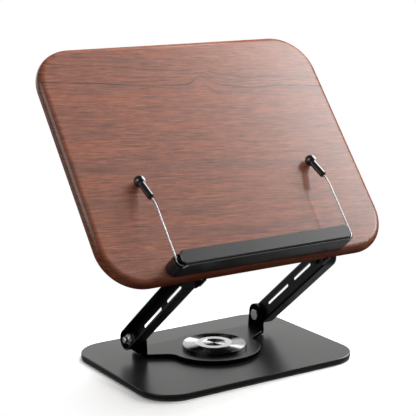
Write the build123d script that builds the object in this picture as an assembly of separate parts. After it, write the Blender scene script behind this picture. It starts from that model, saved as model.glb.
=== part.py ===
from build123d import *
import math
import os

os.makedirs("parts", exist_ok=True)

# ---------------------------------------------------------------------------
# Book stand, millimetres, +Z up.
# Origin: on the desk plane, on the swivel axis of the base.
# +X is the reader's right, -Y points to the reader.
# ---------------------------------------------------------------------------

# base
BASE_X0, BASE_X1 = -112.25, 112.25
BASE_Y0, BASE_Y1 = -86.2, 81.9
BASE_R = 32.0
PAD_T = 2.1
BASE_T = 4.0
BASE_TOP = PAD_T + BASE_T                      # 6.1

# swivel plate and its two upright ears
SWIVEL_T = 3.0
SWIVEL_TOP = 9.94
SWIVEL_Z0 = SWIVEL_TOP - SWIVEL_T              # 6.94
LOBE_R = 43.5
SWIVEL_REAR_Y = 38.8
EAR_IN, EAR_OUT = 65.0, 68.0
EAR_Y0, EAR_Y1 = 14.2, 38.4
EAR_R = 11.0

# centre cap
CAP_R = 30.58
CAP_TOP = 13.36
RING_R_OUT, RING_R_IN, RING_TOP = 17.5, 10.7, 13.9
STUD_R = 6.0

# arms: two pressed channels, axes parallel to X
PIV_Y, PIV_Z = 25.84, 23.69
ARM_DEG = 39.04
ARM_L = 124.3
ARM_R = 9.5
ARM_T = 2.0                                    # web
ARM_WALL = 1.3                                 # drawn side walls
ARM_IN, ARM_OUT = 69.0, 82.3
SLOT_W = 3.5
SLOT_RISE = 1.5                                # slots sit a little above the centre line
SLOT_A = (20.4, 64.2)
SLOT_B = (74.4, 108.8)

# hinge hardware, M6
BOLT_R = 3.0
BOLT_BORE = 3.05
HEX_AF = 10.0
BOLT_END = 83.4

# board
BOARD_W, BOARD_H, BOARD_T = 297.5, 236.0, 13.0
BOARD_RISE = 0.6                               # the sheet's middle above the ledge datum
BOARD_R = 39.7
BOARD_EDGE = 6.4
BOARD_DEG = 51.56
BOARD_C = (-9.14, -15.15, 198.02)
FACE = BOARD_T / 2

# ledge
LEDGE_CX, LEDGE_V, LEDGE_R = 86.5, -106.8, 7.2
LEDGE_H = 20.3
END_H = 16.4                                   # lowered rim of the end cups
CUP_R, CUP_FLOOR = 5.9, 12.0
POST_R = 3.6
COVER_L, COVER_R, COVER_TOP = 88.5, 6.6, 22.0
COVER_V = -106.1
COVER_END = 4.4                                # corner radius of its ends

# page clips
WIRE_R = 0.75
WIRE_H = 17.45
LOOP_R = 4.7
LEG_OFF = 4.55
BEND_V, BEND_DEG, BEND_R = -52.15, 23.0, 25.0
BALL_V, BALL_H, BALL_R = -24.5, 5.72, 5.3
SLEEVE_R, SLEEVE_L = 3.05, 22.0

GAP = 0.05


def save(shape, name):
    shape.label = name
    export_step(shape, "parts/" + name + ".step")
    return shape


def comp(items):
    return Compound(children=list(items))


def slot2d(x0, x1, r):
    """Stadium outline along the local x axis."""
    s = Pos((x0 + x1) / 2, 0) * Rectangle(x1 - x0, 2 * r)
    s += Pos(x0, 0) * Circle(r)
    s += Pos(x1, 0) * Circle(r)
    return s


def tube_x(xa, xb, y, z, r, r_in=0.0):
    """Round bar or ring along X between xa and xb."""
    lo, hi = min(xa, xb), max(xa, xb)
    pl = Plane(origin=(lo, y, z), x_dir=(0, 1, 0), z_dir=(1, 0, 0))
    b = extrude(pl * Circle(r), hi - lo)
    if r_in > 0:
        b -= extrude(pl * Circle(r_in), hi - lo)
    return b


def only(shape):
    """The single solid of a boolean result."""
    one = max(shape.solids(), key=lambda a: a.volume)
    one.topo_parent = None
    return one


# --- frames ----------------------------------------------------------------
board_pl = Plane(origin=BOARD_C, x_dir=(1, 0, 0),
                 z_dir=(0, -math.sin(math.radians(BOARD_DEG)), math.cos(math.radians(BOARD_DEG))))
board_loc = Location(board_pl)
cph, sph = math.cos(math.radians(ARM_DEG)), math.sin(math.radians(ARM_DEG))
UP_Y, UP_Z = PIV_Y - ARM_L * cph, PIV_Z + ARM_L * sph
# upper pivot in board coordinates
cth, sth = math.cos(math.radians(BOARD_DEG)), math.sin(math.radians(BOARD_DEG))
UP_V = (UP_Y - BOARD_C[1]) * cth + (UP_Z - BOARD_C[2]) * sth
UP_W = -(UP_Y - BOARD_C[1]) * sth + (UP_Z - BOARD_C[2]) * cth
# local x along the arm, local z along world X
arm_pl = Plane(origin=(0, PIV_Y, PIV_Z), x_dir=(0, -cph, sph), z_dir=(1, 0, 0))

# ---------------------------------------------------------------------------
# base: anti-slip pad, steel plate, pivot stud
# ---------------------------------------------------------------------------
bx, by = (BASE_X0 + BASE_X1) / 2, (BASE_Y0 + BASE_Y1) / 2
bw, bd = BASE_X1 - BASE_X0, BASE_Y1 - BASE_Y0

pad = extrude(Pos(bx, by, 0) * RectangleRounded(bw - 1.2, bd - 1.2, BASE_R - 0.6), PAD_T)
save(pad, "base_pad")

plate = extrude(Pos(bx, by, PAD_T) * RectangleRounded(bw, bd, BASE_R), BASE_T)
top_e = plate.edges().filter_by(lambda e: abs(e.center().Z - BASE_TOP) < 1e-3)
bot_e = plate.edges().filter_by(lambda e: abs(e.center().Z - PAD_T) < 1e-3)
plate = fillet(top_e, 0.8)
bot_e = plate.edges().filter_by(lambda e: abs(e.center().Z - PAD_T) < 1e-3)
plate = fillet(bot_e, 0.4)
# stud bore with a counterbore for the stud's flat head, opening downwards
plate -= Pos(0, 0, PAD_T - 1) * extrude(Circle(STUD_R), BASE_T + 2)
plate -= Pos(0, 0, PAD_T) * extrude(Circle(11.2), 1.6)
save(only(plate), "base_plate")

stud = Pos(0, 0, PAD_T) * extrude(Circle(11.0), 1.6)
stud += Pos(0, 0, PAD_T + 1.6) * extrude(Circle(STUD_R - 0.02), BASE_TOP - PAD_T - 1.6)
stud += Pos(0, 0, BASE_TOP) * extrude(Circle(STUD_R - 0.03), 12.55 - BASE_TOP)
stud = chamfer(stud.edges().filter_by(lambda e: abs(e.center().Z - 12.55) < 1e-3), 0.5)
save(only(stud), "swivel_stud")

# low-friction ring that carries the swivel plate
bearing = Pos(0, 0, BASE_TOP) * extrude(Circle(34.0) - Circle(9.0), SWIVEL_Z0 - BASE_TOP - GAP)
save(bearing, "thrust_washer")

# wave washer and thin lock nut on the stud, hidden under the cap
wave = Pos(0, 0, SWIVEL_TOP + GAP) * extrude(Circle(10.5) - Circle(STUD_R + 0.1), 0.5)
save(wave, "preload_washer")
nut = Pos(0, 0, SWIVEL_TOP + GAP + 0.5) * extrude(RegularPolygon(9.0, 6, major_radius=False) - Circle(STUD_R - 0.03), 1.7)
save(nut, "stud_lock_nut")

# ---------------------------------------------------------------------------
# swivel plate: flat lobed plate with two bent-up ears
# ---------------------------------------------------------------------------
WING_X0, WING_Y0 = 43.0, 1.3
WING_X1, WING_Y1 = EAR_OUT, 15.4


def swivel_outline():
    # right half: from the rear edge round the wing to the front lobe
    slope = (WING_Y1 - WING_Y0) / (WING_X1 - WING_X0)
    pts = [(-EAR_OUT, SWIVEL_REAR_Y), (EAR_OUT, SWIVEL_REAR_Y), (EAR_OUT, WING_Y1),
           (20.0, WING_Y1 - slope * (EAR_OUT - 20.0)), (-20.0, WING_Y1 - slope * (EAR_OUT - 20.0)),
           (-EAR_OUT, WING_Y1)]
    body = make_face(Polyline(*pts, close=True))
    lobe = Circle(LOBE_R)
    return body + lobe


# one strip bent up at both ends: a U in the XZ plane, run along Y
u_pl = Plane(origin=(0, 60, 0), x_dir=(1, 0, 0), z_dir=(0, -1, 0))
EAR_TOP = PIV_Z + EAR_R
u_out = [(-EAR_OUT, EAR_TOP + 2), (-EAR_OUT, SWIVEL_Z0), (EAR_OUT, SWIVEL_Z0), (EAR_OUT, EAR_TOP + 2),
         (EAR_IN, EAR_TOP + 2), (EAR_IN, SWIVEL_TOP), (-EAR_IN, SWIVEL_TOP), (-EAR_IN, EAR_TOP + 2)]
u_bar = extrude(u_pl * make_face(Polyline(*u_out, close=True)), 120)
u_o = [e for e in u_bar.edges().filter_by(Axis.Y)
       if abs(abs(e.center().X) - EAR_OUT) < 0.01 and abs(e.center().Z - SWIVEL_Z0) < 0.01]
u_bar = fillet(u_o, 1.8)
u_i = [e for e in u_bar.edges().filter_by(Axis.Y)
       if abs(abs(e.center().X) - EAR_IN) < 0.01 and abs(e.center().Z - SWIVEL_TOP) < 0.01]
u_bar = fillet(u_i, 0.8)

outline = only(extrude(Pos(0, 0, 0) * swivel_outline(), 60))
# concave root where each wing runs into the lobe
root = [e for e in outline.edges().filter_by(Axis.Z)
        if e.center().Y < 8 and abs(abs(e.center().X) - LOBE_R) < 6]
outline = only(fillet(root, 12.0))

# side profile: flat plate, then the ears narrowing to a round end about the pivot
e_pl = Plane(origin=(-80, 0, 0), x_dir=(0, 1, 0), z_dir=(1, 0, 0))
ear_pts = [(EAR_Y0, 0), (EAR_Y1, 0), (EAR_Y1, SWIVEL_TOP + 1.0), (PIV_Y + EAR_R, PIV_Z), (PIV_Y - EAR_R, PIV_Z),
           (EAR_Y0, SWIVEL_TOP + 1.0)]
side = make_face(Polyline(*ear_pts, close=True)) + Pos(PIV_Y, PIV_Z) * Circle(EAR_R)
side = side + Pos(0, SWIVEL_TOP / 2 + 0.01) * Rectangle(160, SWIVEL_TOP + 0.02)
side = extrude(e_pl * side, 160)

swivel = only(u_bar & outline)
swivel = only(swivel & only(side))
# stud bore and hinge bores
swivel -= Pos(0, 0, SWIVEL_Z0 - 1) * extrude(Circle(STUD_R + 0.03), SWIVEL_T + 2)
swivel -= tube_x(-EAR_OUT - 1, -EAR_IN + 1, PIV_Y, PIV_Z, BOLT_R + 0.02)
swivel -= tube_x(EAR_IN - 1, EAR_OUT + 1, PIV_Y, PIV_Z, BOLT_R + 0.02)
swivel = only(swivel)
# broken edge on the top outline
te = [e for e in swivel.edges() if abs(e.center().Z - SWIVEL_TOP) < 1e-3 and e.bounding_box().size.Z < 1e-3
      and e.center().Y < 20 and e.center().Y > -LOBE_R - 1 and e.length > 12
      and not (abs(e.length - 2 * math.pi * (STUD_R + 0.03)) < 0.5)]
try:
    swivel = only(chamfer(te, 0.3))
except Exception as exc:
    print("swivel top edge left sharp:", exc)
save(swivel, "swivel_plate")

# ---------------------------------------------------------------------------
# centre cap: black housing, spun disc, polished ring, spun centre disc
# ---------------------------------------------------------------------------
cap = Pos(0, 0, SWIVEL_TOP) * extrude(Circle(CAP_R), 12.75 - SWIVEL_TOP + 0.25)
cap = fillet(cap.edges().filter_by(lambda e: abs(e.center().Z - 13.0) < 1e-3), 0.25)
cap -= Pos(0, 0, SWIVEL_TOP - 0.5) * extrude(Circle(14.0), 12.75 - SWIVEL_TOP + 0.5 - 0.0)
cap -= Pos(0, 0, 12.75) * extrude(Circle(30.0), 1.0)
cap = only(cap)
save(cap, "swivel_cap")

disc = Pos(0, 0, 12.75) * extrude(Circle(29.9) - Circle(RING_R_OUT + 0.02), CAP_TOP - 12.75)
de = [e for e in disc.edges() if abs(e.center().Z - CAP_TOP) < 1e-3 and e.length > 2 * math.pi * 25]
disc = chamfer(de, 0.4)
save(disc, "cap_disc")

ring = Pos(0, 0, 12.75) * extrude(Circle(RING_R_OUT) - Circle(RING_R_IN), RING_TOP - 12.75)
re_ = [e for e in ring.edges() if abs(e.center().Z - RING_TOP) < 1e-3]
ring = chamfer(re_, 0.35)
save(ring, "cap_ring")

centre = Pos(0, 0, 12.75) * extrude(Circle(RING_R_IN - 0.02), 13.45 - 12.75)
save(centre, "cap_centre_disc")

# ---------------------------------------------------------------------------
# lower hinge hardware (both sides), on the swivel plate
# ---------------------------------------------------------------------------


def hex_x(xa, xb, y, z, af, cham=0.5, cham_side=0, rot=0.0):
    """Hexagonal prism along X, vertices towards +-Y, turned by rot; cham_side -1/+1 rounds the corners on that end."""
    lo, hi = min(xa, xb), max(xa, xb)
    pl = Plane(origin=(lo, y, z), x_dir=(0, 1, 0), z_dir=(1, 0, 0))
    rc = af / math.sqrt(3)
    hp = [(rc * math.cos(math.radians(60 * k + rot)), rc * math.sin(math.radians(60 * k + rot))) for k in range(6)]
    h = extrude(pl * make_face(Polyline(*hp, close=True)), hi - lo)
    if cham_side != 0:
        L = hi - lo
        if cham_side > 0:
            prof = Cone(rc + 0.02 + L * 0.0, af / 2 * 0.97, cham, align=(Align.CENTER, Align.CENTER, Align.MIN))
            body = extrude(pl * Circle(rc + 0.02), L - cham)
            tip = Plane(origin=(hi - cham, y, z), x_dir=(0, 1, 0), z_dir=(1, 0, 0)).location * prof
            h = h & (body + tip)
        else:
            prof = Cone(af / 2 * 0.97, rc + 0.02, cham, align=(Align.CENTER, Align.CENTER, Align.MIN))
            tip = Plane(origin=(lo, y, z), x_dir=(0, 1, 0), z_dir=(1, 0, 0)).location * prof
            body = extrude(Plane(origin=(lo + cham, y, z), x_dir=(0, 1, 0), z_dir=(1, 0, 0)) * Circle(rc + 0.02), L - cham)
            h = h & (body + tip)
    return only(h)


def bolt(sign, y, z, x_in, x_end, head_h=1.8, rot=0.0):
    """Hex-head pivot bolt, head on the inner side, thread end outwards."""
    if sign > 0:
        head = hex_x(x_in - head_h, x_in, y, z, HEX_AF, 0.45, -1, rot)
        sh = tube_x(x_in, x_end, y, z, BOLT_R)
        b = head + sh
        b = only(b)
        ee = [e for e in b.edges() if abs(e.center().X - x_end) < 1e-3]
    else:
        head = hex_x(-x_in, -x_in + head_h, y, z, HEX_AF, 0.45, 1, rot)
        sh = tube_x(-x_end, -x_in, y, z, BOLT_R)
        b = only(head + sh)
        ee = [e for e in b.edges() if abs(e.center().X + x_end) < 1e-3]
    return only(chamfer(ee, 0.6))


def hinge_hardware(prefix, y, z, rot=0.0):
    web_out = ARM_IN + ARM_T                       # outer face of the arm's web
    bolts, nuts, springs, flats, liners = [], [], [], [], []
    for sg in (1, -1):
        bolts.append(bolt(sg, y, z, EAR_IN, BOLT_END, 1.8, rot))
        # friction washer between ear and arm
        liners.append(tube_x(sg * EAR_OUT, sg * (ARM_IN - GAP), y, z, 8.0, BOLT_R + 0.05))
        # flat washer on the web, then two disc springs, then a collar washer
        flats.append(tube_x(sg * (web_out + GAP), sg * (web_out + GAP + 1.2), y, z, 6.0, BOLT_R + 0.05))
        a = web_out + GAP + 1.2
        for k in range(2):
            lo, hi = a + k * 1.2, a + (k + 1) * 1.2
            pl = Plane(origin=(0, y, z), x_dir=(1, 0, 0), z_dir=(0, 0, 1))
            r0, r1 = BOLT_R + 0.05, 5.6
            if k == 0:
                pts = [(lo, r1), (lo + 0.6, r1), (hi, r0), (hi - 0.6, r0)]
            else:
                pts = [(hi, r1), (hi - 0.6, r1), (lo, r0), (lo + 0.6, r0)]
            if sg < 0:
                pts = [(-px, pr) for px, pr in pts]
            prof = make_face(Polyline(*[(px, pr) for px, pr in pts], close=True))
            springs.append(revolve(pl * prof, Axis((0, y, z), (1, 0, 0)), 360))
        n0 = a + 2.4
        # locking nut with a round collar on its outer end
        nh = hex_x(sg * n0, sg * (n0 + 4.2), y, z, HEX_AF, 0.5, sg, rot)
        nc = tube_x(sg * (n0 + 4.2), sg * (n0 + 5.4), y, z, 4.3)
        nn = nh + nc
        nn = only(nn)
        tips = [e for e in nn.edges() if abs(e.center().X - sg * (n0 + 5.4)) < 1e-3]
        nn = fillet(tips, 0.7)
        nn = nn - tube_x(sg * (n0 - 1), sg * (n0 + 7), y, z, BOLT_R + 0.02)
        nuts.append(only(nn))
    save(comp(bolts), prefix + "_pivot_bolts")
    save(comp(nuts), prefix + "_lock_nuts")
    save(comp(springs), prefix + "_disc_springs")
    save(comp(flats), prefix + "_flat_washers")
    save(comp(liners), prefix + "_friction_washers")


hinge_hardware("lower", PIV_Y, PIV_Z)
# the upper heads have a flat side towards the board
hinge_hardware("upper", UP_Y, UP_Z, 90.0 + BOARD_DEG - 150.0)

# ---------------------------------------------------------------------------
# arms: pressed trays, web towards the ears, wall outwards, rounded ends
# ---------------------------------------------------------------------------


def arm(sign):
    x0, x1 = ARM_IN, ARM_OUT
    pl = Plane(origin=(x0 if sign > 0 else -x1, PIV_Y, PIV_Z), x_dir=(0, -cph, sph), z_dir=(1, 0, 0))
    a = extrude(pl * slot2d(0, ARM_L, ARM_R), x1 - x0)
    a = only(a)
    xin = sign * x0
    outer = [e for e in a.edges() if abs(e.center().X - xin) < 1e-3]
    a = fillet(outer, 1.8)
    pc = Plane(origin=(x0 + ARM_T if sign > 0 else -x1 - 1, PIV_Y, PIV_Z), x_dir=(0, -cph, sph), z_dir=(1, 0, 0))
    cut = extrude(pc * slot2d(0, ARM_L, ARM_R - ARM_WALL), x1 - x0 - ARM_T + 1)
    cut = only(cut)
    xf = sign * (x0 + ARM_T)
    fl = [e for e in cut.edges() if abs(e.center().X - xf) < 1e-3]
    cut = fillet(fl, 0.6)
    a = a - cut
    pw = Plane(origin=(x0 - 1 if sign > 0 else -x0 - ARM_T - 1, PIV_Y, PIV_Z), x_dir=(0, -cph, sph), z_dir=(1, 0, 0))
    for (s0, s1) in (SLOT_A, SLOT_B):
        a = a - extrude(pw * (Pos(0, -SLOT_RISE) * slot2d(s0 + SLOT_W / 2, s1 - SLOT_W / 2, SLOT_W / 2)), ARM_T + 2)
    for s in (0, ARM_L):
        a = a - extrude(pw * (Pos(s, 0) * Circle(BOLT_BORE)), ARM_T + 2)
    a = only(a)
    xo = sign * x1
    rim = [e for e in a.edges() if abs(e.center().X - xo) < 1e-3]
    try:
        a = only(fillet(rim, 0.45))
    except Exception as exc:
        print("arm rim left sharp:", exc)
    return a


save(arm(1), "arm_right")
save(arm(-1), "arm_left")

# ---------------------------------------------------------------------------
# board with its brackets and ledge, modelled flat in board coordinates
# (x, v up the board, w along the face normal), then laid on the incline
# ---------------------------------------------------------------------------
board = extrude(Pos(0, BOARD_RISE, -BOARD_T / 2) * RectangleRounded(BOARD_W, BOARD_H, BOARD_R), BOARD_T)
front_e = board.edges().filter_by(lambda e: abs(e.center().Z - BOARD_T / 2) < 1e-3)
board = fillet(front_e, BOARD_EDGE)
back_e = board.edges().filter_by(lambda e: abs(e.center().Z + BOARD_T / 2) < 1e-3)
board = fillet(back_e, BOARD_EDGE)

LEDGE_SCREWS = [(-62.0, LEDGE_V), (0.0, LEDGE_V), (62.0, LEDGE_V)]
BR_X0, BR_X1 = 34.0, EAR_OUT                    # bracket flange, |x| in the world frame
BR_V0, BR_V1 = -112.5, -65.0
BR_T = 3.0
BR_R = 8.2                                      # round nose about the upper pivot
BR_FOOT_V, BR_FOOT_W = -119.3, -11.5            # square lower corner of the ear
BR_TOE_V, BR_TOE_W = -117.5, 1.2                # toe of the ear under the board's lower edge
OX = -BOARD_C[0]                                # the stand's centre plane in board x
BR_SCREWS = [(44.0, -105.0), (44.0, -77.0), (57.0, -91.0)]

for (x, v) in LEDGE_SCREWS:
    board -= Pos(x, v, -BOARD_T) * extrude(Circle(1.8), 2 * BOARD_T)
    board -= Pos(x, v, -BOARD_T / 2) * Cone(3.9, 1.8, 2.2, align=(Align.CENTER, Align.CENTER, Align.MIN))
for sg in (1, -1):
    for (x, v) in BR_SCREWS:
        board -= Pos(OX + sg * x, v, -BOARD_T / 2 - 0.01) * extrude(Circle(1.75), 9.01)
board = only(board)
save(board_loc * board, "board")


def bracket(sg):
    # flange on the board's back
    z0 = -BOARD_T / 2 - BR_T
    fx = (BR_X0 + BR_X1) / 2
    fl = Pos(OX + sg * fx, (BR_V0 + BR_V1) / 2, z0 + BR_T / 2) * Box(BR_X1 - BR_X0, BR_V1 - BR_V0, BR_T)
    ce = [e for e in fl.edges().filter_by(Axis.Z) if abs(abs(e.center().X - OX) - BR_X0) < 0.01]
    fl = fillet(ce, 6.0)
    # ear plane: local x = v, local y = w
    xe = OX + (EAR_IN if sg > 0 else -EAR_OUT)
    pl = Plane(origin=(xe, 0, 0), x_dir=(0, 1, 0), z_dir=(1, 0, 0))
    wb = -BOARD_T / 2
    pts = [(BR_FOOT_V, wb), (BR_V1, wb), (BR_V1, wb - BR_T - 0.5),
           (UP_V + BR_R * 0.72, UP_W - BR_R * 0.694), (UP_V, UP_W), (UP_V - BR_R * 0.99, UP_W + BR_R * 0.1),
           (BR_FOOT_V, BR_FOOT_W)]
    f = make_face(Polyline(*pts, close=True)) + Pos(UP_V, UP_W) * Circle(BR_R)
    half = Pos(UP_V, wb + 20) * Rectangle(200, 40)
    f = f - half
    f = f + Pos((BR_FOOT_V + BR_TOE_V) / 2, (wb - 1.0 + BR_TOE_W) / 2) * Rectangle(BR_TOE_V - BR_FOOT_V, BR_TOE_W - wb + 1.0)
    er = extrude(pl * f, EAR_OUT - EAR_IN)
    b = only(fl + er)
    cx = OX + sg * EAR_IN
    inn_e = [e for e in b.edges().filter_by(Axis.Y)
             if abs(e.center().X - cx) < 0.01 and abs(e.center().Z - z0) < 0.01]
    if inn_e:
        b = fillet(inn_e, 0.8)
    b = b - (Plane(origin=(xe - 1, UP_V, UP_W), x_dir=(0, 1, 0), z_dir=(1, 0, 0)).location
             * extrude(Circle(BOLT_R + 0.02), EAR_OUT - EAR_IN + 2))
    for (x, v) in BR_SCREWS:
        b = b - Pos(OX + sg * x, v, z0 - 1) * extrude(Circle(2.2), BR_T + 2)
    return only(b)


save(board_loc * bracket(1), "board_bracket_right")
save(board_loc * bracket(-1), "board_bracket_left")


def pan_screw(x, v, w_head, head_r, head_h, shank_r, length):
    """Screw driven along +w: pan head below w_head, shank above."""
    h = Pos(x, v, w_head - head_h) * extrude(Circle(head_r), head_h)
    h = fillet(h.edges().filter_by(lambda e: abs(e.center().Z - (w_head - head_h)) < 1e-3), head_h * 0.6)
    s = Pos(x, v, w_head) * extrude(Circle(shank_r), length)
    b = only(h + s)
    for rot in (0, 90):
        b = b - Pos(x, v, w_head - head_h + 0.6) * Rot(0, 0, rot) * Box(3.2, 0.8, 1.4)
    return only(b)


scr = []
for sg in (1, -1):
    for (x, v) in BR_SCREWS:
        scr.append(board_loc * pan_screw(OX + sg * x, v, -BOARD_T / 2 - BR_T, 3.9, 2.0, 1.72, 11.5))
save(comp(scr), "bracket_screws")

ls = []
for (x, v) in LEDGE_SCREWS:
    c = Pos(x, v, -BOARD_T / 2) * Cone(3.85, 1.75, 2.15, align=(Align.CENTER, Align.CENTER, Align.MIN))
    c += Pos(x, v, -BOARD_T / 2 + 2.0) * extrude(Circle(1.75), 23.0)
    for rot in (0, 90):
        c -= Pos(x, v, -BOARD_T / 2) * Rot(0, 0, rot) * Box(3.2, 0.8, 2.4)
    ls.append(board_loc * only(c))
save(comp(ls), "ledge_screws")

# --- ledge body ------------------------------------------------------------
ledge = Pos(0, LEDGE_V, FACE) * extrude(slot2d(-LEDGE_CX, LEDGE_CX, LEDGE_R), LEDGE_H)
ledge = only(ledge)
le = [e for e in ledge.edges() if abs(e.center().Z - (FACE + LEDGE_H)) < 1e-3]
ledge = fillet(le, 0.45)
ledge = only(ledge)
# hollow from the board side, with screw bosses
pocket = Pos(0, LEDGE_V, FACE) * extrude(slot2d(-73.0, 73.0, LEDGE_R - 1.9), 16.0)
for (x, v) in LEDGE_SCREWS:
    pocket -= Pos(x, v, FACE) * extrude(Circle(4.0), 16.0)
for s in pocket.solids():
    ledge = ledge - s
for (x, v) in LEDGE_SCREWS:
    ledge = ledge - Pos(x, v, FACE) * extrude(Circle(1.77), 12.2)
# open cups at both ends and the relief that the wire legs swing through
for sg in (1, -1):
    ledge = ledge - Pos(sg * LEDGE_CX, LEDGE_V, FACE + CUP_FLOOR) * extrude(Circle(CUP_R), 20)
    a1, a2 = math.radians(12.0), math.radians(128.0)
    R = 45.0
    pts = [(0, 0), (R * math.cos(a1), R * math.sin(a1)), (R * math.cos(a1), 14.0), (14.0 * math.cos(a2), 14.0),
           (11.0 * math.cos(a2), 11.0 * math.sin(a2))]
    # inward is towards x = 0
    pts = [(-sg * px, pv) for px, pv in pts]
    f = make_face(Polyline(*pts, close=True))
    ledge = ledge - Pos(sg * LEDGE_CX, LEDGE_V, FACE + END_H) * extrude(f, 6.0)
    # the rim steps down beyond the cover's ends
    ramp = [(sg * 83.5, LEDGE_H + 0.1), (sg * 87.5, END_H), (sg * 110.0, END_H), (sg * 110.0, LEDGE_H + 4), (sg * 83.5, LEDGE_H + 4)]
    rp = Plane(origin=(0, LEDGE_V + 20, FACE), x_dir=(1, 0, 0), z_dir=(0, -1, 0))
    ledge = ledge - extrude(rp * make_face(Polyline(*ramp, close=True)), 40.0)
ledge = only(ledge)
save(board_loc * ledge, "ledge_body")

# --- ledge cover -----------------------------------------------------------
cover = Pos(0, COVER_V, FACE + 20.9) * extrude(RectangleRounded(2 * COVER_L, 2 * COVER_R, COVER_END), COVER_TOP - 20.9)
cover = only(cover)
ct = [e for e in cover.edges() if abs(e.center().Z - (FACE + COVER_TOP)) < 1e-3]
cover = only(chamfer(ct, 1.05))
plinth = Pos(0, COVER_V, FACE + LEDGE_H) * extrude(slot2d(-81.0, 81.0, 5.6), 0.6)
cover = only(cover + only(plinth))
save(board_loc * cover, "ledge_cover")

# --- pivot pins of the page clips -------------------------------------------
pins = []
for sg in (1, -1):
    p = Pos(sg * LEDGE_CX, LEDGE_V, FACE + CUP_FLOOR) * extrude(Circle(POST_R), 19.6 - CUP_FLOOR)
    p = only(p)
    pins.append(board_loc * p)
save(comp(pins), "clip_pivot_pins")

# --- page clips: bent wire with a sleeved ball tip ---------------------------
BD = math.radians(BEND_DEG)
tan_l = BEND_R * math.tan(BD / 2)
sl_dir = (0.0, math.cos(BD), -math.sin(BD))       # along the sleeve towards the ball
sl_end = (BALL_V - SLEEVE_L * math.cos(BD), BALL_H + SLEEVE_L * math.sin(BD))   # open end of the sleeve


def clip(sg):
    zc = FACE + WIRE_H
    cx = sg * LEDGE_CX
    # loop round the pin, in the plane w = zc; px measured outwards from the pin
    R1 = 4.0
    dv = math.sqrt((R1 + LOOP_R) ** 2 - (R1 + LEG_OFF) ** 2)

    def P(px, pv, w=zc):
        return (cx + sg * px, LEDGE_V + pv, w)

    c1 = (LEG_OFF + R1, dv)
    f = R1 / (R1 + LOOP_R)
    tp = (c1[0] * (1 - f), c1[1] * (1 - f))
    ang0 = math.atan2(tp[1], tp[0])                # angle of the tangent point, px to the right
    # mid point of the reverse arc
    am = (math.pi + math.atan2(tp[1] - c1[1], tp[0] - c1[0]) + (2 * math.pi if math.atan2(tp[1] - c1[1], tp[0] - c1[0]) < 0 else 0)) / 2
    m1 = (c1[0] + R1 * math.cos(am), c1[1] + R1 * math.sin(am))
    ang_end = ang0 - math.radians(262.0)
    ang_mid = (ang0 + ang_end) / 2
    loop_end = (LOOP_R * math.cos(ang_end), LOOP_R * math.sin(ang_end))
    loop_mid = (LOOP_R * math.cos(ang_mid), LOOP_R * math.sin(ang_mid))
    leg_top_v = BEND_V - tan_l
    xl = cx + sg * LEG_OFF
    q1 = (xl, BEND_V + tan_l * math.cos(BD), zc - tan_l * math.sin(BD))
    # middle of the bend towards the board
    cb = (leg_top_v, zc - BEND_R)
    qm = (xl, cb[0] + BEND_R * math.sin(BD / 2), cb[1] + BEND_R * math.cos(BD / 2))
    wire_in = 13.0
    q2 = (xl, sl_end[0] + wire_in * math.cos(BD), FACE + sl_end[1] - wire_in * math.sin(BD))
    e1 = ThreePointArc(P(*loop_end), P(*loop_mid), P(*tp))
    e2 = ThreePointArc(P(*tp), P(*m1), P(LEG_OFF, dv))
    e3 = Line(P(LEG_OFF, dv), (xl, leg_top_v, zc))
    e4 = ThreePointArc((xl, leg_top_v, zc), qm, q1)
    e5 = Line(q1, q2)
    path = Wire([e1, e2, e3, e4, e5])
    start = path @ 0
    tang = path % 0
    sec = Plane(origin=start, z_dir=tang) * Circle(WIRE_R)
    w = sweep(sec, path)
    w = only(w)
    ln = path.length
    print("clip wire: volume", round(w.volume, 2), "section x length", round(math.pi * WIRE_R ** 2 * ln, 2), "length", round(ln, 2))
    # sleeve and ball, turned about the sleeve axis
    o = (xl, sl_end[0], FACE + sl_end[1])
    pl = Plane(origin=o, x_dir=(1, 0, 0), z_dir=sl_dir)
    # profile in local (radius, height) turned about local z
    hb = SLEEVE_L
    sl = Cylinder(SLEEVE_R, hb, align=(Align.CENTER, Align.CENTER, Align.MIN))
    sl = chamfer(sl.edges().filter_by(lambda e: abs(e.center().Z) < 1e-3), 0.5)
    ball = Pos(0, 0, hb) * Sphere(BALL_R)
    tip = only(sl + ball)
    je = [e for e in tip.edges() if e.geom_type == GeomType.CIRCLE and 2 < e.center().Z - 0 < hb - 1 and abs(e.radius - SLEEVE_R) < 0.05]
    je = [e for e in je if abs(e.center().Z - (hb - math.sqrt(BALL_R ** 2 - SLEEVE_R ** 2))) < 0.2]
    if je:
        try:
            tip = only(fillet(je, 0.8))
        except Exception as exc:
            print("tip neck left sharp:", exc)
    tip = tip - Cylinder(WIRE_R + 0.02, 13.5, align=(Align.CENTER, Align.CENTER, Align.MIN))
    tip = only(tip)
    return board_loc * w, board_loc * (pl.location * tip)


for sg, nm in ((1, "right"), (-1, "left")):
    w, t = clip(sg)
    save(w, "clip_wire_" + nm)
    save(t, "clip_tip_" + nm)

print("upper pivot", round(UP_Y, 3), round(UP_Z, 3))
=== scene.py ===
import math

import bpy
from mathutils import Matrix, Vector


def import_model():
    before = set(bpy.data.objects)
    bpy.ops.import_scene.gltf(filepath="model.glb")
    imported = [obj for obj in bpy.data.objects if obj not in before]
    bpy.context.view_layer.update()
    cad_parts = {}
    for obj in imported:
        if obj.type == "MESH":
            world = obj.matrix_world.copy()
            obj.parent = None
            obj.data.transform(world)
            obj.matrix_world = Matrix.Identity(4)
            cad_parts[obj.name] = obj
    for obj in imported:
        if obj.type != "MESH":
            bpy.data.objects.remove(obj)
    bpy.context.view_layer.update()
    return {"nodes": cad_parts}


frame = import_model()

nodes_by_name = frame["nodes"]

# ---------------------------------------------------------------------------
# the board's own frame: x along the board, v up the board, w out of its face
# ---------------------------------------------------------------------------
BOARD_C = (-0.00914, -0.01515, 0.19802)
BOARD_A = math.radians(51.56)


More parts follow.
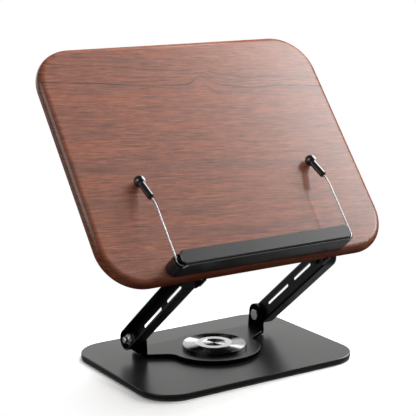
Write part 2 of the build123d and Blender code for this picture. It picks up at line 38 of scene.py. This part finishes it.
# ---------------------------------------------------------------------------
# node helpers
# ---------------------------------------------------------------------------
class Tree:
    """A short way to write a node tree."""

    def __init__(self, tree):
        self.t = tree
        self.t.nodes.clear()

    def put(self, socket, value):
        if value is None:
            return
        if isinstance(value, bpy.types.NodeSocket):
            self.t.links.new(value, socket)
        elif isinstance(value, (tuple, list)) and len(value) == 3 and socket.type == "RGBA":
            socket.default_value = (value[0], value[1], value[2], 1.0)
        else:
            socket.default_value = value

    def new(self, kind, ins=None, **attrs):
        n = self.t.nodes.new(kind)
        for k, v in attrs.items():
            setattr(n, k, v)
        for k, v in (ins or {}).items():
            self.put(n.inputs[k], v)
        return n

    def math(self, op, a, b=None, c=None, clamp=False):
        n = self.new("ShaderNodeMath", operation=op, use_clamp=clamp)
        self.put(n.inputs[0], a)
        self.put(n.inputs[1], b)
        self.put(n.inputs[2], c)
        return n.outputs[0]

    def add(self, *v):
        out = v[0]
        for x in v[1:]:
            out = self.math("ADD", out, x)
        return out

    def mul(self, *v):
        out = v[0]
        for x in v[1:]:
            out = self.math("MULTIPLY", out, x)
        return out

    def step(self, x, lo, hi, a=0.0, b=1.0, smooth=True):
        n = self.new("ShaderNodeMapRange", interpolation_type="SMOOTHSTEP" if smooth else "LINEAR", clamp=True)
        self.put(n.inputs[0], x)
        self.put(n.inputs[1], lo)
        self.put(n.inputs[2], hi)
        self.put(n.inputs[3], a)
        self.put(n.inputs[4], b)
        return n.outputs[0]

    def bell(self, x, centre, width):
        d = self.math("DIVIDE", self.math("SUBTRACT", x, centre), width)
        return self.math("POWER", 2.718281828, self.mul(self.mul(d, d), -1.0))

    def mix(self, fac, a, b, mode="MIX"):
        n = self.new("ShaderNodeMix", data_type="RGBA", blend_type=mode, clamp_factor=True)
        self.put(n.inputs[0], fac)
        self.put(n.inputs[6], a)
        self.put(n.inputs[7], b)
        return n.outputs[2]

    def vec(self, x, y, z):
        return self.new("ShaderNodeCombineXYZ", {0: x, 1: y, 2: z}).outputs[0]

    def noise(self, vec, scale=1.0, detail=2.0, rough=0.5, distortion=0.0, kind="FBM"):
        n = self.new("ShaderNodeTexNoise", noise_dimensions="3D")
        try:
            n.noise_type = kind
        except Exception:
            pass
        self.put(n.inputs["Vector"], vec)
        self.put(n.inputs["Scale"], scale)
        self.put(n.inputs["Detail"], detail)
        self.put(n.inputs["Roughness"], rough)
        self.put(n.inputs["Distortion"], distortion)
        return n.outputs[0]

    def ramp(self, fac, stops, interpolation="LINEAR"):
        n = self.new("ShaderNodeValToRGB", {0: fac})
        n.color_ramp.interpolation = interpolation
        el = n.color_ramp.elements
        while len(el) > 1:
            el.remove(el[-1])
        el[0].position, el[0].color = stops[0][0], (*stops[0][1], 1.0)
        for p, c in stops[1:]:
            e = el.new(p)
            e.color = (*c, 1.0)
        return n.outputs[0]

    def bump(self, height, strength, distance):
        n = self.new("ShaderNodeBump")
        n.inputs["Strength"].default_value = strength
        n.inputs["Distance"].default_value = distance
        self.put(n.inputs["Height"], height)
        return n.outputs["Normal"]


def lin(r, g, b):
    """sRGB 0-255 to linear."""
    out = []
    for c in (r, g, b):
        c = c / 255.0
        out.append(c / 12.92 if c <= 0.04045 else ((c + 0.055) / 1.055) ** 2.4)
    return tuple(out)


def material(name):
    m = bpy.data.materials.new(name)
    m.use_nodes = True
    t = Tree(m.node_tree)
    out = t.new("ShaderNodeOutputMaterial")
    p = t.new("ShaderNodeBsdfPrincipled")
    t.t.links.new(p.outputs[0], out.inputs[0])
    return m, t, p


def object_coords(t):
    return t.new("ShaderNodeTexCoord").outputs["Object"]


def set_in(t, p, **values):
    names = {"color": "Base Color", "metal": "Metallic", "rough": "Roughness", "ior": "IOR",
             "spec": "Specular IOR Level", "coat": "Coat Weight", "coat_rough": "Coat Roughness",
             "coat_ior": "Coat IOR", "aniso": "Anisotropic", "aniso_rot": "Anisotropic Rotation",
             "tangent": "Tangent", "normal": "Normal", "sheen": "Sheen Weight", "coat_normal": "Coat Normal"}
    for k, v in values.items():
        t.put(p.inputs[names[k]], v)


def rest_value(p, name, value):
    """The even value that a socket falls back on where its pattern isn't carried along."""
    p.inputs[name].default_value = value


# ---------------------------------------------------------------------------
# walnut: straight grain along the board, slightly slanted, with a small
# cathedral near the top, smoky patches, fine fibres and darker end grain
# ---------------------------------------------------------------------------
def walnut():
    m, t, p = material("walnut_satin")
    mp = t.new("ShaderNodeMapping", vector_type="TEXTURE")
    t.put(mp.inputs["Vector"], object_coords(t))
    mp.inputs["Location"].default_value = BOARD_C
    mp.inputs["Rotation"].default_value = (BOARD_A, 0, 0)
    mp.inputs["Scale"].default_value = (0.01, 0.01, 0.01)     # board coordinates in centimetres
    sep = t.new("ShaderNodeSeparateXYZ", {0: mp.outputs[0]})
    x, v, w = sep.outputs[0], sep.outputs[1], sep.outputs[2]
    # height across the grain: slanted to the board, and running out through its thickness
    t0 = t.add(v, t.mul(x, 0.077), t.mul(w, 0.9))
    across = t.math("SUBTRACT", w, t.mul(v, 0.35))

    # slow wander of the grain
    wander = t.noise(t.vec(t.mul(x, 0.07), t.mul(t0, 0.22), t.mul(across, 0.3)), 1.0, 2.0, 0.45)
    wander2 = t.noise(t.vec(t.mul(x, 0.30), t.mul(t0, 0.6), t.add(t.mul(across, 0.4), 9.0)), 1.0, 2.0, 0.5)
    warp = t.add(t.mul(t.math("SUBTRACT", wander, 0.5), 1.1), t.mul(t.math("SUBTRACT", wander2, 0.5), 0.35))
    # one small cathedral near the top and the dips beside it
    near = t.bell(t0, 8.1, 1.3)
    peak = t.mul(t.bell(x, 1.35, 0.95), near, 0.95)
    dip1 = t.mul(t.bell(x, 6.3, 1.9), near, -0.42)
    dip2 = t.mul(t.bell(x, -4.2, 3.4), near, -0.32)
    local = t.add(peak, dip1, dip2)
    g = t.math("SUBTRACT", t0, t.add(t.mul(warp, t.math("SUBTRACT", 1.0, t.mul(near, 0.8))), local))

    # dark growth lines: height at the middle, extra slope, width, depth, from x, to x
    lines = [(7.72, 0.012, 0.062, 0.95, -30, 30), (9.15, 0.052, 0.055, 0.72, -30, 30), (8.46, -0.048, 0.060, 0.60, -6.6, -2.0),
             (6.83, -0.018, 0.070, 0.60, 1.2, 9.0), (10.3, 0.03, 0.05, 0.30, -30, 4), (5.30, 0.01, 0.05, 0.26, -9, 3),
             (3.2, 0.0, 0.05, 0.24, -30, 6), (1.6, 0.012, 0.05, 0.20, 1, 30), (-2.3, 0.0, 0.06, 0.24, -8, 30),
             (-4.1, -0.01, 0.07, 0.26, -30, 5), (-5.9, 0.01, 0.07, 0.28, -4, 30), (-7.9, 0.0, 0.09, 0.30, -30, 30),
             (-9.6, 0.0, 0.07, 0.26, -30, 30)]
    ragged = t.noise(t.vec(t.mul(x, 0.9), t.mul(t0, 1.5), 5.5), 1.0, 2.0, 0.6)
    gl = t.add(g, t.mul(t.math("SUBTRACT", ragged, 0.5), 0.16))
    fade = t.noise(t.vec(t.mul(x, 0.22), t.mul(t0, 0.9), 3.3), 1.0, 2.0, 0.5)
    veins = None
    for at, slope, width, depth, xa, xb in lines:
        one = t.mul(t.bell(t.add(gl, t.mul(x, slope)), at, width), depth)
        if xa > -20:
            one = t.mul(one, t.step(x, xa - 0.6, xa + 0.8))
        if xb < 20:
            one = t.mul(one, t.step(x, xb + 0.6, xb - 0.8))
        veins = one if veins is None else t.math("MAXIMUM", veins, one)
    veins = t.mul(veins, t.step(fade, 0.34, 0.56, 0.45, 1.0))
    # smoky bands
    smoke = None
    for at, width, depth in [(7.35, 0.30, 0.30), (8.95, 0.26, 0.16), (-0.85, 0.34, 0.42), (-1.5, 0.22, 0.16), (-4.6, 0.4, 0.18),
                             (-7.4, 0.5, 0.24), (2.3, 0.35, 0.12), (-10.6, 0.7, 0.30)]:
        one = t.mul(t.bell(g, at, width), depth)
        smoke = one if smoke is None else t.add(smoke, one)
    smoke = t.mul(smoke, t.step(fade, 0.3, 0.62, 0.4, 1.15))
    # a few knots of darker figure low on the board
    figure = None
    for px, pv, sx, sv, depth in [(-4.3, -5.7, 2.0, 0.25, 0.4), (-0.3, -8.0, 2.4, 0.3, 0.4), (-3.5, -7.6, 1.4, 0.2, 0.3),
                                  (-12.2, -0.65, 1.6, 0.3, 0.4)]:
        one = t.mul(t.bell(x, px, sx), t.bell(v, t.add(t.mul(t.math("SUBTRACT", x, px), -0.077), pv), sv), depth)
        figure = one if figure is None else t.add(figure, one)

    # streaks: broad, medium and fine fibre, all long and straight
    broad = t.noise(t.vec(t.mul(x, 0.06), t.mul(g, 0.55), t.mul(across, 0.5)), 1.0, 3.0, 0.5)
    medium = t.noise(t.vec(t.mul(x, 0.09), t.mul(g, 2.2), t.mul(across, 0.9)), 1.0, 3.0, 0.6)
    thin = t.noise(t.vec(t.mul(x, 0.15), t.mul(g, 5.0), t.add(t.mul(across, 1.2), 4.0)), 1.0, 3.0, 0.62)
    dash = t.noise(t.vec(t.mul(x, 0.34), t.mul(t0, 5.6), t.add(t.mul(across, 1.5), 14.0)), 1.0, 2.0, 0.55)
    spark = t.noise(t.vec(t.mul(x, 0.22), t.mul(t0, 5.4), t.add(t.mul(across, 1.5), 24.0)), 1.0, 2.0, 0.55)
    fine = t.noise(t.vec(t.mul(x, 0.55), t.mul(t0, 8.2), t.mul(across, 2.0)), 1.0, 3.0, 0.68)
    mottle = t.noise(t.vec(t.mul(x, 1.1), t.mul(v, 1.6), t.mul(w, 1.5)), 1.0, 2.0, 0.55)
    pores = t.noise(t.vec(t.mul(x, 1.6), t.mul(t0, 26.0), t.mul(across, 5.0)), 1.0, 2.0, 0.6)

    orange = lin(*WOOD_ORANGE)
    brown = lin(*WOOD_BROWN)
    grey = lin(*WOOD_GREY)
    dark = lin(*WOOD_DARK)
    light = lin(*WOOD_LIGHT)
    warm = t.step(t.add(broad, t.mul(t.step(t0, 3.0, 9.0), 0.10)), 0.40, 0.66)
    col = t.mix(warm, brown, t.mix(0.5, brown, orange))
    col = t.mix(t.mul(t.step(medium, 0.50, 0.74), 0.30), col, orange)
    col = t.mix(t.mul(t.step(medium, 0.50, 0.26), 0.24), col, grey)
    col = t.mix(t.mul(t.step(thin, 0.50, 0.28), 0.50), col, grey)
    col = t.mix(t.mul(t.step(thin, 0.50, 0.74), 0.40), col, orange)
    col = t.mix(t.mul(t.step(mottle, 0.35, 0.65), 0.14), col, dark)
    col = t.mix(t.mul(t.step(fine, 0.50, 0.28), 0.56), col, dark)
    col = t.mix(t.mul(t.step(fine, 0.50, 0.74), 0.45), col, light)
    col = t.mix(t.mul(t.step(spark, 0.60, 0.74), t.step(broad, 0.40, 0.60, 0.35, 1.0), 0.36), col, light)
    col = t.mix(t.mul(t.step(dash, 0.60, 0.74), t.step(fade, 0.40, 0.62, 0.30, 1.0), 0.36), col, dark)
    col = t.mix(smoke, col, grey)
    col = t.mix(figure, col, dark)
    col = t.mix(veins, col, dark)
    pore = t.step(pores, 0.36, 0.24)
    col = t.mix(t.mul(pore, 0.30), col, dark)
    # end grain takes more stain: both short edges and round the corners
    qx = t.math("MAXIMUM", t.math("SUBTRACT", t.math("ABSOLUTE", x), 10.905), 0.0)
    qv = t.math("MAXIMUM", t.math("SUBTRACT", t.math("ABSOLUTE", v), 7.89), 0.0)
    ql = t.math("MAXIMUM", t.math("SQRT", t.add(t.mul(qx, qx), t.mul(qv, qv))), 0.001)
    rim = t.step(ql, 3.97 - 0.44, 3.97 - 0.14)
    endness = t.mul(rim, t.step(t.math("DIVIDE", qx, ql), 0.25, 0.85))
    end = t.noise(t.vec(t.mul(x, 0.8), t.mul(t0, 5.5), t.mul(w, 1.2)), 1.0, 3.0, 0.65)
    end_col = t.mix(t.step(end, 0.34, 0.66), lin(*END_DARK), lin(*END_LIGHT))
    # painted shade: the right end grain is mixed towards a deep red so it stays dark under the light from the right
    end_col = t.mix(t.mul(t.step(x, 8.0, 13.0), 0.7), end_col, lin(*WOOD_SHADE_RED))
    col = t.mix(t.mul(endness, 0.85), col, end_col)
    # painted shade: the long edges are mixed towards a deep red, most towards the bottom edge and least on the right
    col = t.mix(t.mul(rim, t.math("SUBTRACT", 1.0, endness), t.step(v, 2.0, -8.0, 0.45, 0.75), t.step(x, -2.0, 8.0, 1.0, 0.3)), col, lin(*WOOD_SHADE_RED))

    # little gloss on the rim, least of all on the right
    calm = t.mul(t.step(ql, 3.97 - 0.78, 3.97 - 0.42), t.math("MAXIMUM", t.step(x, 0.0, 8.0, 0.45, 1.0), t.step(v, -4.0, -9.0, 0.45, 1.0)))
    rough = t.add(t.mul(fine, 0.10), t.mul(pore, 0.08), WOOD_ROUGH)
    height = t.add(t.mul(fine, 0.45), t.mul(pores, 0.35), t.mul(veins, -0.25), t.mul(pore, -0.4))
    nrm = t.bump(height, 0.18, 0.00012)
    set_in(t, p, color=col, rough=rough, normal=nrm, spec=t.mul(0.25, t.math("SUBTRACT", 1.0, calm)), coat=t.mul(WOOD_COAT, t.math("SUBTRACT", 1.0, calm)), coat_rough=0.17, coat_ior=1.7, ior=1.5)
    rest_value(p, "Specular IOR Level", 0.25)
    rest_value(p, "Coat Weight", WOOD_COAT)
    return m


WOOD_ORANGE = (160, 93, 67)
WOOD_BROWN = (136, 81, 63)
WOOD_GREY = (103, 75, 67)
WOOD_DARK = (44, 30, 28)
WOOD_LIGHT = (190, 126, 97)
# deep red used as painted shade on the board's edges
WOOD_SHADE_RED = (92, 38, 22)
END_DARK = (84, 46, 32)
END_LIGHT = (132, 76, 54)
WOOD_ROUGH = 0.42
WOOD_COAT = 1.0


# ---------------------------------------------------------------------------
# black finishes
# ---------------------------------------------------------------------------
def powder_black(name, base, rough, grain=1500.0, strength=0.18, spec=0.5, coat=0.0, edge=None):
    m, t, p = material(name)
    oc = object_coords(t)
    pits = t.noise(oc, grain, 2.0, 0.55)
    slow = t.noise(oc, 22.0, 2.0, 0.5)
    col = t.mix(t.step(slow, 0.3, 0.7), tuple(c * 0.9 for c in base), tuple(c * 1.12 for c in base))
    r = t.add(rough - 0.03, t.mul(slow, 0.06), t.mul(pits, 0.03))
    if edge is not None:
        # folded-up and cut faces are duller than the flat ones
        up = t.new("ShaderNodeSeparateXYZ", {0: t.new("ShaderNodeNewGeometry").outputs["Normal"]}).outputs[2]
        rest_value(p, "Specular IOR Level", spec)
        spec = t.step(up, 0.55, 0.97, edge, spec)
    set_in(t, p, color=col, rough=r, normal=t.bump(pits, strength, 0.00004), spec=spec, coat=coat)
    if coat:
        set_in(t, p, coat_rough=0.2)
    return m


def rubber(name, base, rough):
    m, t, p = material(name)
    oc = object_coords(t)
    cells = t.new("ShaderNodeTexVoronoi", {"Vector": oc, "Scale": 900.0}).outputs["Distance"]
    slow = t.noise(oc, 60.0, 3.0, 0.6)
    col = t.mix(t.step(slow, 0.3, 0.7), tuple(c * 0.82 for c in base), tuple(c * 1.2 for c in base))
    set_in(t, p, color=col, rough=rough, normal=t.bump(t.add(cells, t.mul(slow, 0.4)), 0.5, 0.0002), spec=0.35)
    return m


def gloss_black(name, base, rough, coat=0.6):
    m, t, p = material(name)
    oc = object_coords(t)
    slow = t.noise(oc, 130.0, 2.0, 0.5)
    fine = t.noise(oc, 2600.0, 2.0, 0.5)
    r = t.add(rough, t.mul(slow, 0.06))
    col = t.mix(slow, tuple(c * 0.8 for c in base), tuple(c * 1.2 for c in base))
    set_in(t, p, color=col, rough=r, normal=t.bump(t.add(slow, t.mul(fine, 0.05)), 0.06, 0.0003), coat=coat, coat_rough=0.08)
    return m


# ---------------------------------------------------------------------------
# metals
# ---------------------------------------------------------------------------
def steel(name, base, rough, grain=700.0, strength=0.08, dull=0.12):
    m, t, p = material(name)
    oc = object_coords(t)
    patch = t.noise(oc, 240.0, 3.0, 0.6)
    fine = t.noise(oc, grain * 3, 2.0, 0.5)
    col = t.mix(t.step(patch, 0.35, 0.7), tuple(c * (1 - dull) for c in base), base)
    r = t.add(rough - 0.04, t.mul(patch, 0.12))
    set_in(t, p, color=col, metal=1.0, rough=r, normal=t.bump(fine, strength, 0.00003))
    return m


def spun(name, base, rough, aniso, rings=5200.0, strength=0.35, shade=0.12, turn=0.25, painted_fans=None):
    """Metal turned on a lathe: fine rings about the stand's axis; the optional (azimuth, half width, darkest share)
    argument paints in the bright side fans of a turned face as painted highlights, darkening colour and specular tint
    outside them.
    """
    m, t, p = material(name)
    oc = object_coords(t)
    s = t.new("ShaderNodeSeparateXYZ", {0: oc})
    rad = t.math("SQRT", t.add(t.mul(s.outputs[0], s.outputs[0]), t.mul(s.outputs[1], s.outputs[1])))
    line = t.noise(t.vec(t.mul(rad, rings), 0.0, 0.0), 1.0, 3.0, 0.7)
    slow = t.noise(t.vec(t.mul(rad, 900.0), 4.0, 0.0), 1.0, 2.0, 0.5)
    col = t.mix(t.step(slow, 0.3, 0.7), tuple(c * (1 - shade) for c in base), base)
    # painted highlight: bright fans towards the sides, where a turned face shows its glints, with colour and specular
    # tint darkened to black outside them
    if painted_fans:
        a = math.radians(painted_fans[0])
        c = t.math("DIVIDE", t.add(t.mul(s.outputs[0], math.sin(a)), t.mul(s.outputs[1], -math.cos(a))),
                   t.math("MAXIMUM", rad, 0.0005))
        painted_fan = t.step(t.math("ABSOLUTE", c), math.cos(math.radians(painted_fans[1] + 9.0)), math.cos(math.radians(painted_fans[1] - 9.0)), painted_fans[2], 1.0)
        painted_fan = t.mul(painted_fan, t.add(0.86, t.mul(line, 0.28)))
        col = t.mix(painted_fan, (0.0, 0.0, 0.0), col)
        t.put(p.inputs["Specular Tint"], t.mix(painted_fan, (0.0, 0.0, 0.0), (1.0, 1.0, 1.0)))
    r = t.add(rough - 0.04, t.mul(line, 0.1))
    tan = t.new("ShaderNodeTangent", direction_type="RADIAL", axis="Z").outputs[0]
    set_in(t, p, color=col, metal=1.0, rough=r, aniso=aniso, aniso_rot=turn, tangent=tan, normal=t.bump(line, strength, 0.00002))
    return m


def nylon(name, base):
    m, t, p = material(name)
    oc = object_coords(t)
    n = t.noise(oc, 500.0, 2.0, 0.5)
    col = t.mix(n, tuple(c * 0.85 for c in base), base)
    set_in(t, p, color=col, rough=t.add(0.38, t.mul(n, 0.12)), normal=t.bump(n, 0.1, 0.0001))
    return m


def wire_steel(name):
    m, t, p = material(name)
    oc = object_coords(t)
    n = t.noise(oc, 420.0, 3.0, 0.6)
    f = t.noise(oc, 3000.0, 2.0, 0.5)
    col = t.mix(t.step(n, 0.3, 0.7), lin(138, 139, 142), lin(180, 181, 184))
    set_in(t, p, color=col, metal=1.0, rough=t.add(0.2, t.mul(n, 0.12)), normal=t.bump(f, 0.05, 0.00002))
    return m


M = {
    "pad_rubber": rubber("pad_rubber", lin(70, 70, 70), 0.75),
    "base_black": powder_black("powder_black_base", lin(12, 12, 12), 0.29, strength=0.10, spec=0.62),
    "frame_black": powder_black("powder_black_frame", lin(10, 10, 10), 0.30, strength=0.10, spec=0.30),
    "swivel_black": powder_black("powder_black_swivel", lin(9, 9, 9), 0.30, strength=0.10, spec=0.38, edge=0.0),
    "ledge_black": powder_black("ledge_satin", lin(21, 21, 22), 0.30, grain=2200.0, strength=0.08, spec=0.72),
    "cap_black": gloss_black("cap_black", lin(6, 6, 6), 0.16, coat=0.0),
    "tip_gloss": gloss_black("tip_gloss", lin(10, 10, 10), 0.14, coat=0.8),
    "disc_metal": spun("spun_disc", lin(224, 224, 226), 0.62, 1.0, painted_fans=(57.6, 33.0, 0.05)),
    "ring_metal": spun("polished_ring", lin(198, 198, 200), 0.20, 0.4, strength=0.1, shade=0.05),
    "centre_metal": spun("spun_centre", lin(200, 200, 202), 0.60, 1.0, painted_fans=(57.6, 34.0, 0.12)),
    "hinge_steel": steel("zinc_steel", lin(222, 223, 226), 0.36),
    "spring_steel": steel("spring_steel", lin(90, 88, 86), 0.34),
    "stud_steel": steel("stud_steel", lin(160, 160, 162), 0.3),
    "pin_steel": steel("pin_steel", lin(60, 60, 62), 0.3),
    "black_steel": steel("black_oxide_steel", lin(38, 38, 40), 0.4),
    "washer_nylon": nylon("washer_nylon", lin(28, 28, 28)),
    "wire_steel": wire_steel("wire_steel"),
    "walnut": walnut(),
}

FINISH = {
    "base_pad": "pad_rubber", "base_plate": "base_black", "swivel_plate": "swivel_black",
    "swivel_stud": "stud_steel", "stud_lock_nut": "hinge_steel", "preload_washer": "spring_steel",
    "thrust_washer": "washer_nylon", "swivel_cap": "cap_black", "cap_disc": "disc_metal",
    "cap_ring": "ring_metal", "cap_centre_disc": "centre_metal",
    "lower_pivot_bolts": "hinge_steel", "lower_lock_nuts": "hinge_steel", "lower_disc_springs": "spring_steel",
    "lower_flat_washers": "spring_steel", "lower_friction_washers": "washer_nylon",
    "upper_pivot_bolts": "black_steel", "upper_lock_nuts": "black_steel", "upper_disc_springs": "black_steel",
    "upper_flat_washers": "black_steel", "upper_friction_washers": "washer_nylon",
    "arm_left": "frame_black", "arm_right": "frame_black",
    "board": "walnut", "board_bracket_left": "frame_black", "board_bracket_right": "frame_black",
    "bracket_screws": "hinge_steel", "ledge_screws": "hinge_steel",
    "ledge_body": "ledge_black", "ledge_cover": "ledge_black",
    "clip_pivot_pins": "pin_steel", "clip_wire_left": "wire_steel", "clip_wire_right": "wire_steel",
    "clip_tip_left": "tip_gloss", "clip_tip_right": "tip_gloss",
}
for name, obj in nodes_by_name.items():
    obj.data.materials.clear()
    obj.data.materials.append(M[FINISH[name]])


# ---------------------------------------------------------------------------
# floor
# ---------------------------------------------------------------------------
FLOOR = 1.0
FLOOR_BOUNCE = 0.14


def floor():
    me = bpy.data.meshes.new("floor")
    s = 4.0
    me.from_pydata([(-s, -s, 0), (s, -s, 0), (s, s, 0), (-s, s, 0)], [], [(0, 1, 2, 3)])
    ob = bpy.data.objects.new("floor", me)
    bpy.context.scene.collection.objects.link(ob)
    m = bpy.data.materials.new("floor_white")
    m.use_nodes = True
    t = Tree(m.node_tree)
    out = t.new("ShaderNodeOutputMaterial")
    n = t.noise(object_coords(t), 40.0, 2.0, 0.5)
    # pale to the eye, but it throws little light back up at the stand
    seen = t.new("ShaderNodeBsdfDiffuse", {"Color": t.mix(n, (FLOOR * 0.99,) * 3, (FLOOR * 1.01,) * 3)})
    bounce = t.new("ShaderNodeBsdfDiffuse", {"Color": (FLOOR_BOUNCE, FLOOR_BOUNCE, FLOOR_BOUNCE)})
    path = t.new("ShaderNodeLightPath")
    # away from the base's outline the sheet runs out into the plain backdrop
    sep = t.new("ShaderNodeSeparateXYZ", {0: object_coords(t)})
    qx = t.math("MAXIMUM", t.math("SUBTRACT", t.math("ABSOLUTE", sep.outputs[0]), 0.08025), 0.0)
    qy = t.math("MAXIMUM", t.math("SUBTRACT", t.math("ABSOLUTE", t.add(sep.outputs[1], 0.00215)), 0.05205), 0.0)
    away = t.math("SUBTRACT", t.math("SQRT", t.add(t.mul(qx, qx), t.mul(qy, qy))), 0.032)
    plain = t.new("ShaderNodeEmission", {"Color": (1.0, 1.0, 1.0), "Strength": 1.0})
    sheet = t.new("ShaderNodeMixShader", {0: t.step(away, 0.008, 0.075), 1: seen.outputs[0], 2: plain.outputs[0]})
    mix = t.new("ShaderNodeMixShader", {0: path.outputs["Is Camera Ray"], 1: bounce.outputs[0], 2: sheet.outputs[0]})
    t.t.links.new(mix.outputs[0], out.inputs[0])
    me.materials.append(m)
    return ob


floor()


# ---------------------------------------------------------------------------
# light: a white studio with soft boxes, written as smooth lobes of the sky
# ---------------------------------------------------------------------------
def direction(az, el):
    """Unit vector towards a light; azimuth 0 is the reader's side (-Y), 90 the right (+X)."""
    a, e = math.radians(az), math.radians(el)
    return (math.sin(a) * math.cos(e), -math.cos(a) * math.cos(e), math.sin(e))


SKY_BASE = 0.13
BAND = 1.65                              # bright strip of backdrop behind the stand
LOBES = [
    # azimuth, elevation, inner half angle, outer half angle, strength
    (91.0, 29.5, 24.0, 31.8, 7.0),       # right soft box
    (-80.0, 30.0, 8.0, 30.0, 2.2),       # left soft box
]
KEY_DIR = (0.32, 0.28, 0.905)            # overhead panel, a little behind and to the right
KEY_DIST, KEY_SIZE, KEY_POWER = 1.5, 1.2, 24.5


def key_light():
    ld = bpy.data.lights.new("overhead_panel", "AREA")
    ld.shape, ld.size, ld.energy = "DISK", KEY_SIZE, KEY_POWER
    lo = bpy.data.objects.new("overhead_panel", ld)
    d = Vector(KEY_DIR).normalized()
    lo.location = d * KEY_DIST + Vector((0, 0, 0.1))
    lo.rotation_euler = d.to_track_quat("Z", "Y").to_euler()
    lo.visible_glossy = False
    bpy.context.scene.collection.objects.link(lo)


key_light()


def world():
    w = bpy.data.worlds.new("studio")
    bpy.context.scene.world = w
    w.use_nodes = True
    t = Tree(w.node_tree)
    out = t.new("ShaderNodeOutputWorld")
    d = t.new("ShaderNodeTexCoord").outputs["Generated"]
    total = None
    for az, el, inner, outer, strength in LOBES:
        dot = t.new("ShaderNodeVectorMath", {0: d, 1: direction(az, el)}, operation="DOT_PRODUCT").outputs["Value"]
        one = t.step(dot, math.cos(math.radians(outer)), math.cos(math.radians(inner)), 0.0, strength)
        total = one if total is None else t.add(total, one)
    s = t.new("ShaderNodeSeparateXYZ", {0: d})
    flat = direction(172.0, 0.0)
    side = t.add(t.mul(s.outputs[0], flat[0]), t.mul(s.outputs[1], flat[1]))
    band = t.mul(t.step(s.outputs[2], 0.49, 0.21), t.step(side, 0.30, 1.0), BAND)
    total = t.add(total, band, SKY_BASE)
    light = t.new("ShaderNodeBackground", {"Color": (1.0, 0.995, 0.985), "Strength": total})
    white = t.new("ShaderNodeBackground", {"Color": (1.0, 1.0, 1.0), "Strength": 1.0})
    path = t.new("ShaderNodeLightPath")
    mix = t.new("ShaderNodeMixShader", {0: path.outputs["Is Camera Ray"], 1: light.outputs[0], 2: white.outputs[0]})
    t.t.links.new(mix.outputs[0], out.inputs[0])


world()


# ---------------------------------------------------------------------------
# camera
# ---------------------------------------------------------------------------
def camera():
    az, el, roll = (math.radians(a) for a in (-32.396, 12.034, -0.423))
    back = Vector((math.sin(az) * math.cos(el), -math.cos(az) * math.cos(el), math.sin(el)))
    fwd = -back
    right = fwd.cross(Vector((0, 0, 1))).normalized()
    up = right.cross(fwd)
    r2 = math.cos(roll) * right + math.sin(roll) * up
    u2 = -math.sin(roll) * right + math.cos(roll) * up
    cd = bpy.data.cameras.new("camera")
    cd.lens, cd.sensor_width = 108.61, 36.0
    cd.clip_start, cd.clip_end = 0.05, 50.0
    co = bpy.data.objects.new("camera", cd)
    co.matrix_world = Matrix(((r2.x, u2.x, back.x, -0.61465), (r2.y, u2.y, back.y, -0.95928),
                              (r2.z, u2.z, back.z, 0.38703), (0, 0, 0, 1)))
    bpy.context.scene.collection.objects.link(co)
    bpy.context.scene.camera = co


camera()
bpy.context.scene.view_settings.view_transform = "Standard"
bpy.context.scene.view_settings.look = "None"
